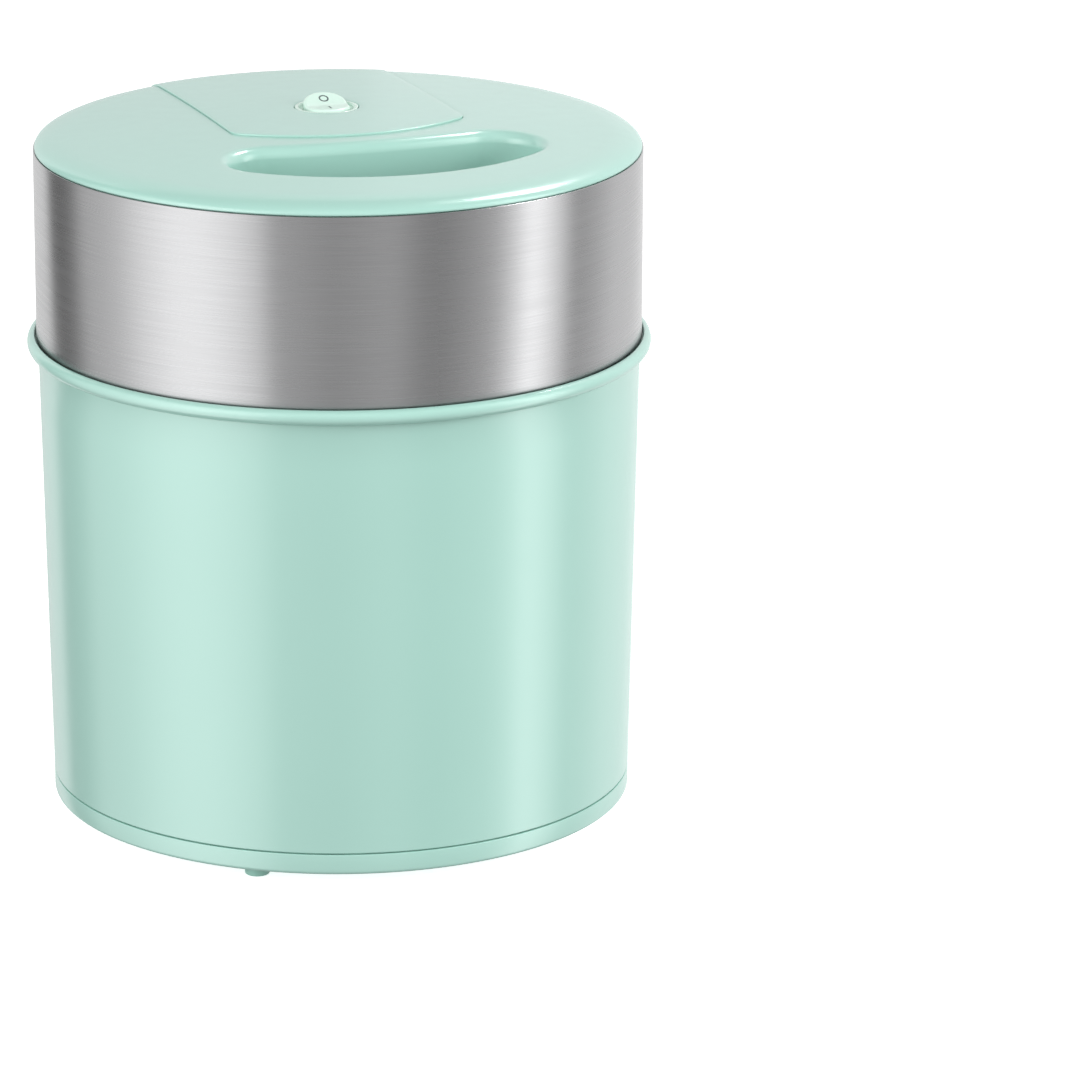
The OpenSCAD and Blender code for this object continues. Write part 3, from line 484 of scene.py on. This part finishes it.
def panel_crossing(r, grow):
    """Angles at which a ring of radius r meets the right and the left side of the motor cover."""
    right, left = PANEL_HALF + grow + PANEL_X, PANEL_HALF + grow - PANEL_X
    return degrees(atan2(sqrt(r * r - right ** 2), right)), degrees(atan2(sqrt(r * r - left ** 2), -left))


def lid_rings(rise, span):
    """The shoulder's rings, each cut where the motor cover's sides cross it. span(r) gives their end angles."""
    rings = []
    for t in SHOULDER_TURNS:
        r = LID_R - SHOULDER_W + (SHOULDER_W + rise) * cos(radians(t))
        start, end = span(r)
        count = max(2, int(abs(end - start) / 1.5))
        rings.append(arc((0, 0), r, start, end, count) + arc((0, 0), r, end, end + 1, 1))
    return rings


def make_top_cover():
    bm = bmesh.new()
    rim = SEAM + 0.2

    def span(r):
        right, left = panel_crossing(r, rim)
        return left, right + 360

    rings = lid_rings(0, span)
    panel = panel_outline(rim)
    hole = chute_outline(LIP_R)
    outer = rings[0] + panel[1:-1]
    fill(bm, [outer, hole], [ring[1:-1] for ring in rings[1:]],
         lambda p: inside(p, outer) and not inside(p, hole), lid_height)
    lip = [(LIP_R - inward, drop) for inward, drop in quarter(LIP_R)]
    rows = edge_rows(bm, chute_outline, lid_height, lip, True)
    previous = rows[-1]
    for share in (0.1, 0.3, 0.6, 1.0):
        row = [bm.verts.new((v.co.x, v.co.y, v.co.z + (CHUTE_LOW - v.co.z) * share)) for v in rows[-1]]
        bridge(bm, previous, row)
        previous = row
    seam = [(rim - inward, drop) for inward, drop in quarter(rim - SEAM, 4)] + [(SEAM, 2.0)]
    edge_rows(bm, panel_outline, lid_height, seam, False)
    piece = finish_piece("lid_shell", bm, "drive_head", "mint_plastic", ["top_cover"], sheet=True)
    thicken(piece, 2.0)
    return piece


def make_motor_cover():
    bm = bmesh.new()
    rim = -0.3
    hole_grow, edge_r = 0.9, 0.75      # the hole's flat edge and its rounding, outside the bezel

    def height(x, y):
        return lid_height(x, y, PANEL_STEP)

    def around_switch(grow):
        return arc((SWITCH_X, SWITCH_Y), BEZEL_R + grow, 0, 360, 64)

    rings = lid_rings(PANEL_STEP, lambda r: panel_crossing(r, rim))
    panel = panel_outline(rim, PANEL_STEP)
    outer = panel + rings[0][1:-1][::-1]
    hole = around_switch(hole_grow)
    fill(bm, [outer, hole], [ring[1:-1] for ring in rings[1:]],
         lambda p: inside(p, outer) and not inside(p, hole), height)
    hole_edge = [(hole_grow - inward, drop) for inward, drop in quarter(edge_r, 5)]
    hole_edge.append((hole_grow - edge_r, 2.4))
    edge_rows(bm, around_switch, height, hole_edge, True)
    edge = [(rim + inward, drop) for inward, drop in quarter(-rim, 4)] + [(0, 2.2)]
    edge_rows(bm, lambda grow: panel_outline(grow, PANEL_STEP), height, edge, False)
    piece = finish_piece("motor_cover_panel", bm, "drive_head", "mint_plastic", ["motor_cover"], sheet=True)
    thicken(piece, 1.7)
    return piece


# ---------------------------------------------------------------- other shells


def make_band():
    bm = bmesh.new()
    profile = [(BAND_R, BAND_LOW), (BAND_R, BAND_TOP), (BAND_R - BAND_T, BAND_TOP), (BAND_R - BAND_T, BAND_LOW)]
    revolve(bm, rounded(profile, 0.28, 4), 320)
    return finish_piece("brushed_band", bm, "drive_head", "steel", ["steel_band"], 60)


def make_housing():
    bm = bmesh.new()
    inner_low, inner_top = HOUSING_R_LOW - WALL, HOUSING_R_TOP - WALL
    rim_in = BAND_R + 0.6
    bead_z = RIM_Z - BEAD_TUBE
    bead = [(rim_in + BEAD_TUBE * cos(radians(a)), bead_z + BEAD_TUBE * sin(radians(a)))
            for a in range(-100, 86, 8)]
    profile = ([(inner_low, HOUSING_LOW_Z), (HOUSING_R_LOW - 0.4, HOUSING_LOW_Z),
                (HOUSING_R_LOW, HOUSING_LOW_Z + 0.4)]
               + [(HOUSING_R_LOW + (HOUSING_R_TOP - HOUSING_R_LOW) * k / 10,
                   HOUSING_LOW_Z + 0.4 + (LEDGE_Z - 3.4 - HOUSING_LOW_Z) * k / 10) for k in range(1, 11)]
               + [(HOUSING_R_TOP + 0.15, LEDGE_Z - 2.5)] + bead
               + [(rim_in, RIM_Z - 0.25), (rim_in, LEDGE_Z), (inner_top, LEDGE_Z)])
    revolve(bm, profile, 320)
    return finish_piece("housing_wall", bm, "housing", "mint_plastic", ["housing_shell"], 40)


def post(bm, turn, inner, wall, half, low, high, soft):
    """An upright block with rounded corners that stands out of the housing's wall."""
    across, along = (cos(turn), sin(turn)), (-sin(turn), cos(turn))
    section = [(inner + soft, -half), (inner, -half + soft), (inner, half - soft), (inner + soft, half),
               (None, half), (None, -half)]       # the last two points lie in the wall
    columns = []
    for x, y in section:
        heights = ((low, soft / 2), (low + soft, 0), (high - soft, 0), (high, soft / 2))
        column = []
        for z, back in heights:
            u = wall(z) if x is None else x + back
            v = y * (1 - back / half)
            column.append(bm.verts.new((u * across[0] + v * along[0], u * across[1] + v * along[1], z)))
        columns.append(column)
    strip(bm, columns)


def boss_places():
    return [(BOSS_PLACE_R * cos(radians(a)), BOSS_PLACE_R * sin(radians(a))) for a in (45, 135, 225, 315)]


def make_housing_ribs():
    """The ribs that hold the bowl upright, the four keys that stop it turning, and the screw bosses."""
    bm = bmesh.new()
    inner = jacket_high[0] + 1
    rib_top = RING_Z - 0.3

    def wall(z):
        slope = (HOUSING_R_TOP - HOUSING_R_LOW) / (LEDGE_Z - HOUSING_LOW_Z)
        return HOUSING_R_LOW - WALL + 0.8 + slope * (z - HOUSING_LOW_Z)

    for k in range(RIB_COUNT):
        turn = 2 * pi * k / RIB_COUNT
        post(bm, turn, inner, wall, RIB_W / 2, HOUSING_LOW_Z + 6, rib_top, 0.4)
        if k % 2 == 0:
            post(bm, turn, KEY_IN_R, wall, KEY_W / 2, rib_top - 8, rib_top + 2.8, 0.5)
    for place in boss_places():
        profile = [(1.5, BOSS_SPLIT_Z), (4.6, BOSS_SPLIT_Z), (4.6, BOSS_SPLIT_Z + 12), (1.5, BOSS_SPLIT_Z + 12)]
        revolve(bm, rounded(profile, [0, 0.2, 0.5, 0.2], 4), BOSS_TURNS, place)
    return finish_piece("housing_ribs", bm, "housing", "mint_plastic", ["housing_shell"], 40)


def make_base():
    bm = bmesh.new()
    low, top = base_low[2], HOUSING_LOW_Z - 0.35
    flat = HOUSING_R_LOW - 2.8
    profile = [(flat, low), (HOUSING_R_LOW, low), (HOUSING_R_LOW, top), (HOUSING_R_LOW - 2.6, top),
               (HOUSING_R_LOW - 2.6, base_high[2] - 1), (HOUSING_R_LOW - 4.2, base_high[2] - 1),
               (HOUSING_R_LOW - 4.2, low + 3), (0, low + 3)]
    revolve(bm, rounded(profile, [0, 2.5, 0.3, 0.2, 0.3, 0.3, 0.5, 0]), 320)
    cone = [f for f in bm.faces if len(f.verts) == 3 and min(v.co.z for v in f.verts) < low + 0.01]
    bmesh.ops.delete(bm, geom=cone, context="FACES_ONLY")
    outline = [e for e in bm.edges if e.is_boundary and all(v.co.z < low + 0.01 for v in e.verts)]
    for place in boss_places():
        recess = ((2.85, low), (2.6, low + 0.3), (2.6, low + 2.5), (1.7, low + 2.5), (1.7, low + 2.9))
        rows = [circle_row(bm, r, z, BOSS_TURNS, place) for r, z in recess]
        for near, far in zip(rows, rows[1:]):
            bridge(bm, near, far)
        outline += [bm.edges.get((rows[0][i], rows[0][(i + 1) % BOSS_TURNS])) for i in range(BOSS_TURNS)]
        profile = [(1.7, low + 3), (3.4, low + 3), (3.4, BOSS_SPLIT_Z - 0.3), (1.7, BOSS_SPLIT_Z - 0.3)]
        revolve(bm, rounded(profile, [0, 0, 0.4, 0.2], 4), BOSS_TURNS, place)
    bmesh.ops.triangle_fill(bm, edges=outline, use_beauty=True)
    return finish_piece("base_cap", bm, "housing", "mint_plastic", ["base_plate"], 40)


# ---------------------------------------------------------------- under the lid


def strip(bm, rows):
    """A solid rail: rows of vertices in the order of its section, bridged all round and closed at both ends."""
    for low, high in zip(rows, rows[1:] + rows[:1]):
        bridge(bm, low, high, False)
    for end in (0, -1):
        bm.faces.new([row[end] for row in rows])


def make_lid_ribs():
    """The spigot inside the tray's wall, and the shelf that the motor cover rests on."""
    bm = bmesh.new()
    outer, inner = BAND_R - 3.0, BAND_R - 5.0
    profile = [(inner, LID_Z - 7), (outer, LID_Z - 7), (outer, LID_Z + 1.0), (outer - 0.4, LID_Z + 1.4),
               (inner, LID_Z + 1.4)]
    revolve(bm, rounded(profile, [0.4, 0.6, 0, 0, 0], 4), 256)
    rows = []
    for grow, drop in ((2.3, 2.2), (-3, 2.2), (-3, 3.8), (2.3, 3.8)):
        path = panel_outline(grow)[6:-6]
        rows.append([bm.verts.new((x, y, lid_height(x, y) - drop)) for x, y in path])
    strip(bm, rows)
    return finish_piece("lid_ribs", bm, "drive_head", "mint_plastic", ["top_cover"])


# ---------------------------------------------------------------- the switch

SWITCH_TOP = lid_height(SWITCH_X, SWITCH_Y, PANEL_STEP)
ROCKER_R = 8.4
ROCKER_HALF = 7.8
ROCKER_VALLEY = 1.7            # above the pivot
ROCKER_LOW = -3.2
ROCKER_TILT = radians(12)
MARK_Y = 3.9                   # distance of each mark from the valley


def make_switch_body():
    bm = bmesh.new()
    top = SWITCH_TOP
    low = mm(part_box("switch_body")[0])[2]
    body_r = 9.4
    profile = [(9.0, top - 1.5), (BEZEL_R - 1.0, top - 0.05), (BEZEL_R, top - 0.1), (BEZEL_R, top - 0.6),
               (body_r, top - 0.6), (body_r, low), (7.9, low), (7.9, low + 5.5), (8.6, low + 5.5),
               (8.6, top - 1.9)]
    revolve(bm, rounded(profile, [0.4, 0.45, 0.3, 0, 0, 0.4, 0.3, 0, 0, 0.2], 4), 96, (SWITCH_X, SWITCH_Y))
    floor = [(0, low), (8.2, low), (8.2, low + 1.5), (0, low + 1.5)]
    revolve(bm, floor, 96, (SWITCH_X, SWITCH_Y))
    return finish_piece("switch_bezel", bm, "drive_head", "switch_plastic", ["switch_body"])


def rocker_edge(turn):
    """Plan of the rocker: round, with soft flats at both sides."""
    x, y = cos(turn), sin(turn)
    return 1 / (abs(x / ROCKER_HALF) ** 16 + 1 / ROCKER_R ** 16) ** (1 / 16)


def rocker_top(y):
    """Height of the two faces above the pivot, with a soft valley between them."""
    return ROCKER_VALLEY - 0.25 + sqrt(y * y + 1.0) * sin(ROCKER_TILT) / cos(ROCKER_TILT)


def in_rocker(x, y, z):
    """From the level rocker's own place to where it stands at rest."""
    return (SWITCH_X + x, SWITCH_Y + y * cos(ROCKER_TILT) - z * sin(ROCKER_TILT),
            PIVOT_Z + y * sin(ROCKER_TILT) + z * cos(ROCKER_TILT))


def round_end(x, y, z):
    """A point of the rocker, pulled in so that its front and back ends follow a circle about the pivot."""
    return in_rocker(x, y * sqrt(1 - (z / (ROCKER_R + 0.15)) ** 2), z)


def make_rocker():
    bm = bmesh.new()
    turns = 96
    edge_r = 0.9
    radius = 8                     # taken for the rounding of the edge
    rows = [[bm.verts.new(in_rocker(0, 0, rocker_top(0)))] * turns]
    spans = [0.15, 0.3, 0.45, 0.6, 0.72, 0.82]
    spans += [1 - edge_r / radius * (1 - sin(radians(a))) for a in range(0, 91, 15)]
    for share in spans:
        row = []
        for i in range(turns):
            turn = 2 * pi * i / turns
            reach = rocker_edge(turn)
            x, y = share * reach * cos(turn), share * reach * sin(turn)
            inside_by = (1 - share) * radius
            drop = edge_r - sqrt(max(0, edge_r ** 2 - max(0, edge_r - inside_by) ** 2))
            z = rocker_top(y) - drop
            row.append(bm.verts.new(round_end(x, y, z)))
        rows.append(row)
    for share in (0.2, 0.5, 1.0):
        row = []
        for i in range(turns):
            turn = 2 * pi * i / turns
            reach = rocker_edge(turn)
            x, y = reach * cos(turn), reach * sin(turn)
            top = rocker_top(y) - edge_r
            z = top + (ROCKER_LOW - top) * share
            row.append(bm.verts.new(round_end(x, y, z)))
        rows.append(row)
    rows.append([bm.verts.new(in_rocker(0, 0, ROCKER_LOW))] * turns)
    for low, high in zip(rows, rows[1:]):
        bridge(bm, low, high)
    return finish_piece("rocker", bm, "rocker", "switch_plastic", ["switch_rocker"], 50)


def rocker_mark(name, outline, hole=None):
    """A printed mark that stands just clear of a face of the rocker."""
    bm = bmesh.new()

    def row(path, lift):
        made = []
        for x, y in path:
            z = rocker_top(y) + lift
            made.append(bm.verts.new(round_end(x, y, z)))
        return made

    inner = hole or [(sum(x for x, _ in outline) / len(outline), y) for _, y in outline]
    rows = [row(outline, 0.03), row(inner, 0.03), row(inner, -0.15), row(outline, -0.15)]
    for low, high in zip(rows, rows[1:] + rows[:1]):
        bridge(bm, low, high)
    return finish_piece(name, bm, "rocker", "switch_plastic", (), 50)


def make_marks():
    def ring(r):
        turns = [2 * pi * i / 48 for i in range(48)]
        return [(r * cos(a), MARK_Y + 1.1 * r * sin(a)) for a in turns]

    off = rocker_mark("mark_off", ring(1.75), ring(1.2))
    half_length, half_width = 1.55, 0.27
    bar = [(half_width * cos(a), -MARK_Y + half_length * (1 if sin(a) > 0 else -1) + half_width * sin(a))
           for a in [2 * pi * (i + 0.5) / 24 for i in range(24)]]
    on = rocker_mark("mark_on", bar)
    for piece in (off, on):
        piece.data.materials[0] = MARK_INK


MARK_INK = moulded("mark_ink", srgb(74, 92, 90), 0.5)

# ---------------------------------------------------------------- feet


FOOT_PLACE_R, FOOT_TURN = 88.5, 53


def make_feet():
    low, _ = (mm(c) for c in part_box("feet"))
    for k in range(4):
        bm = bmesh.new()
        turn = radians(FOOT_TURN + 90 * k)
        centre = (FOOT_PLACE_R * cos(turn), FOOT_PLACE_R * sin(turn))
        top = base_low[2] + 0.3
        profile = [(0, low[2]), (4.2, low[2]), (4.5, top), (0, top)]
        revolve(bm, rounded(profile, [0, 0.7, 0, 0], 5), 64, centre)
        finish_piece(f"foot_{k}", bm, "housing", "mint_feet", ["feet"])


make_top_cover()
make_motor_cover()
make_band()
make_housing()
make_housing_ribs()
make_base()
make_lid_ribs()
make_switch_body()
make_rocker()
make_marks()
make_feet()

# ---------------------------------------------------------------- camera and stage

CAMERA_YAW = radians(20)       # the camera stands to the left of the chute
CAMERA_PITCH = radians(16.885)
CAMERA_ROLL = radians(0.275)
CAMERA_DISTANCE = 2.127
CAMERA_LENS = 204.8
PAN_RIGHT = 0.0693             # the object stands left of the picture's middle
PAN_UP = -0.0280


def make_camera():
    middle = Vector((0, 0, 0.1219))
    level = cos(CAMERA_PITCH)
    look = Vector((sin(CAMERA_YAW) * level, cos(CAMERA_YAW) * level, -sin(CAMERA_PITCH)))
    right = Vector((cos(CAMERA_YAW), -sin(CAMERA_YAW), 0))
    up = right.cross(look)
    camera = bpy.data.objects.new("camera", bpy.data.cameras.new("camera"))
    camera.data.lens = CAMERA_LENS
    camera.data.sensor_width = 36
    camera.data.clip_end = 20
    place = middle + right * PAN_RIGHT + up * PAN_UP - look * CAMERA_DISTANCE
    axes = Matrix((right, up, -look)).transposed().to_4x4()
    camera.matrix_world = Matrix.Translation(place) @ axes @ Matrix.Rotation(CAMERA_ROLL, 4, "Z")
    bpy.context.scene.collection.objects.link(camera)
    bpy.context.scene.camera = camera


def make_floor():
    mesh = bpy.data.meshes.new("floor")
    size = 5.0
    corners = [(-size, -size, 0), (size, -size, 0), (size, size, 0), (-size, size, 0)]
    mesh.from_pydata(corners, [], [(0, 1, 2, 3)])
    floor = bpy.data.objects.new("floor", mesh)
    floor.location.z = cad_box[0][2]
    floor.visible_diffuse = floor.visible_glossy = False
    m = Shader("floor_white", Roughness=0.7, Emission_Strength=FLOOR_GLOW)
    m.tint(srgb(252, 252, 252), m.noise(3, 2), 0.003)
    m.bsdf.inputs["Emission Color"].default_value = (1, 1, 1, 1)
    mesh.materials.append(m.mat)
    bpy.context.scene.collection.objects.link(floor)


BACKDROP_R = 4.6


def make_backdrop():
    """A far white wall that only the camera sees, for views from the floor's height."""
    bm = bmesh.new()
    bridge(bm, *[circle_row(bm, BACKDROP_R, z, 64) for z in (-0.2, 6)])
    mesh = bpy.data.meshes.new("backdrop")
    bm.to_mesh(mesh)
    bm.free()
    wall = bpy.data.objects.new("backdrop", mesh)
    wall.visible_diffuse = wall.visible_glossy = wall.visible_shadow = wall.visible_transmission = False
    m = Shader("backdrop_white", Roughness=0.9, Emission_Strength=1.0)
    m.bsdf.inputs["Emission Color"].default_value = (1, 1, 1, 1)
    mesh.materials.append(m.mat)
    bpy.context.scene.collection.objects.link(wall)


# Brightness of the reflector round the object: degrees from the camera's direction, positive to the
# picture's right, and level. A white wall, a dark gap and a wide soft box at the left, a grey front and a
# narrow soft box at the right.
REFLECTOR = [(-180, 1.0), (-165, 0.95), (-145, 0.95), (-128, 1.2), (-122, 0.2), (-111, 0.28), (-105, 0.4),
             (-98, 0.95), (-89, 1.0), (-79, 1.2), (-68, 1.7), (-55, 2.1), (-44, 2.1), (-33, 1.77), (-24, 1.35),
             (-20, 0.75), (-12, 0.74), (0, 0.61), (20, 0.79), (30, 0.52), (36, 0.48), (46, 0.65), (56, 0.85),
             (64, 1.6), (70, 2.65), (77, 2.05), (85, 1.3), (90, 0.6), (100, 0.8), (116, 1.15), (137, 1.05),
             (165, 1.15)]
REFLECTOR_R = 0.45
FLOOR_GLOW = 0.7
WORLD_LEVEL = 0.42


def make_reflector():
    """A round wall that only reflections see, so that it lights nothing and hides nothing."""
    bm = bmesh.new()
    bridge(bm, *[circle_row(bm, REFLECTOR_R, z, 128) for z in (-0.3, 0.7)])
    mesh = bpy.data.meshes.new("reflector")
    bm.to_mesh(mesh)
    bm.free()
    wall = bpy.data.objects.new("reflector", mesh)
    wall.visible_camera = wall.visible_diffuse = wall.visible_shadow = wall.visible_transmission = False
    mat = bpy.data.materials.new("reflector")
    mat.use_nodes = True
    tree = mat.node_tree
    tree.nodes.clear()
    link = tree.links.new
    turn = tree.nodes.new("ShaderNodeVectorRotate")
    turn.rotation_type = "Z_AXIS"
    turn.inputs["Angle"].default_value = CAMERA_YAW
    link(tree.nodes.new("ShaderNodeTexCoord").outputs["Object"], turn.inputs["Vector"])
    parts = tree.nodes.new("ShaderNodeSeparateXYZ")
    link(turn.outputs["Vector"], parts.inputs["Vector"])
    front = tree.nodes.new("ShaderNodeMath")
    front.operation = "MULTIPLY"
    front.inputs[1].default_value = -1
    link(parts.outputs["Y"], front.inputs[0])
    angle = tree.nodes.new("ShaderNodeMath")
    angle.operation = "ARCTAN2"
    link(parts.outputs["X"], angle.inputs[0])
    link(front.outputs[0], angle.inputs[1])
    share = tree.nodes.new("ShaderNodeMapRange")
    share.inputs["From Min"].default_value = -pi
    share.inputs["From Max"].default_value = pi
    link(angle.outputs[0], share.inputs["Value"])
    ramp = tree.nodes.new("ShaderNodeValToRGB")
    elements = ramp.color_ramp.elements
    while len(elements) < len(REFLECTOR):
        elements.new(0.5)
    top = max(level for _, level in REFLECTOR)
    for element, (place, level) in zip(elements, REFLECTOR):
        element.position = (place + 180) / 360
        element.color = (level / top, level / top, level / top, 1)
    link(share.outputs["Result"], ramp.inputs["Fac"])
    glow = tree.nodes.new("ShaderNodeEmission")
    glow.inputs["Strength"].default_value = top
    link(ramp.outputs["Color"], glow.inputs["Color"])
    link(glow.outputs["Emission"], tree.nodes.new("ShaderNodeOutputMaterial").inputs["Surface"])
    mesh.materials.append(mat)
    bpy.context.scene.collection.objects.link(wall)


def make_world():
    world = bpy.data.worlds.new("studio")
    world.use_nodes = True
    background = world.node_tree.nodes["Background"]
    background.inputs["Color"].default_value = (1, 1, 1, 1)
    background.inputs["Strength"].default_value = WORLD_LEVEL
    bpy.context.scene.world = world


def area_light(name, azimuth, elevation, distance, size, energy, diffuse=True):
    """A soft box aimed at the middle of the object. Azimuth starts at the camera, positive to the right.

    A diffuse light is seen by rough surfaces only, the other kind in reflections only.
    """
    light = bpy.data.lights.new(name, "AREA")
    light.shape = "RECTANGLE"
    light.size, light.size_y = size
    light.energy = energy
    turn = pi + CAMERA_YAW - radians(azimuth)
    aim = Vector((0, 0, 0.13))
    level, rise = cos(radians(elevation)), sin(radians(elevation))
    place = aim + distance * Vector((sin(turn) * level, cos(turn) * level, rise))
    lamp = bpy.data.objects.new(name, light)
    lamp.location = place
    lamp.visible_diffuse, lamp.visible_glossy = diffuse, not diffuse
    lamp.rotation_euler = (aim - place).to_track_quat("-Z", "Y").to_euler()
    bpy.context.scene.collection.objects.link(lamp)


make_camera()
make_floor()
make_backdrop()
make_reflector()
make_world()
area_light("key", -38, 17, 1.6, (1.0, 0.8), 13.8)
area_light("fill", 75, 17, 1.6, (0.8, 0.8), 17)
area_light("top", -10, 58, 1.6, (1.0, 1.0), 7)
area_light("sparkle", 139, 55, 1.2, (0.2, 0.2), 4.5, False)
bpy.context.scene.view_settings.view_transform = "Standard"
bpy.context.scene.view_settings.look = "None"
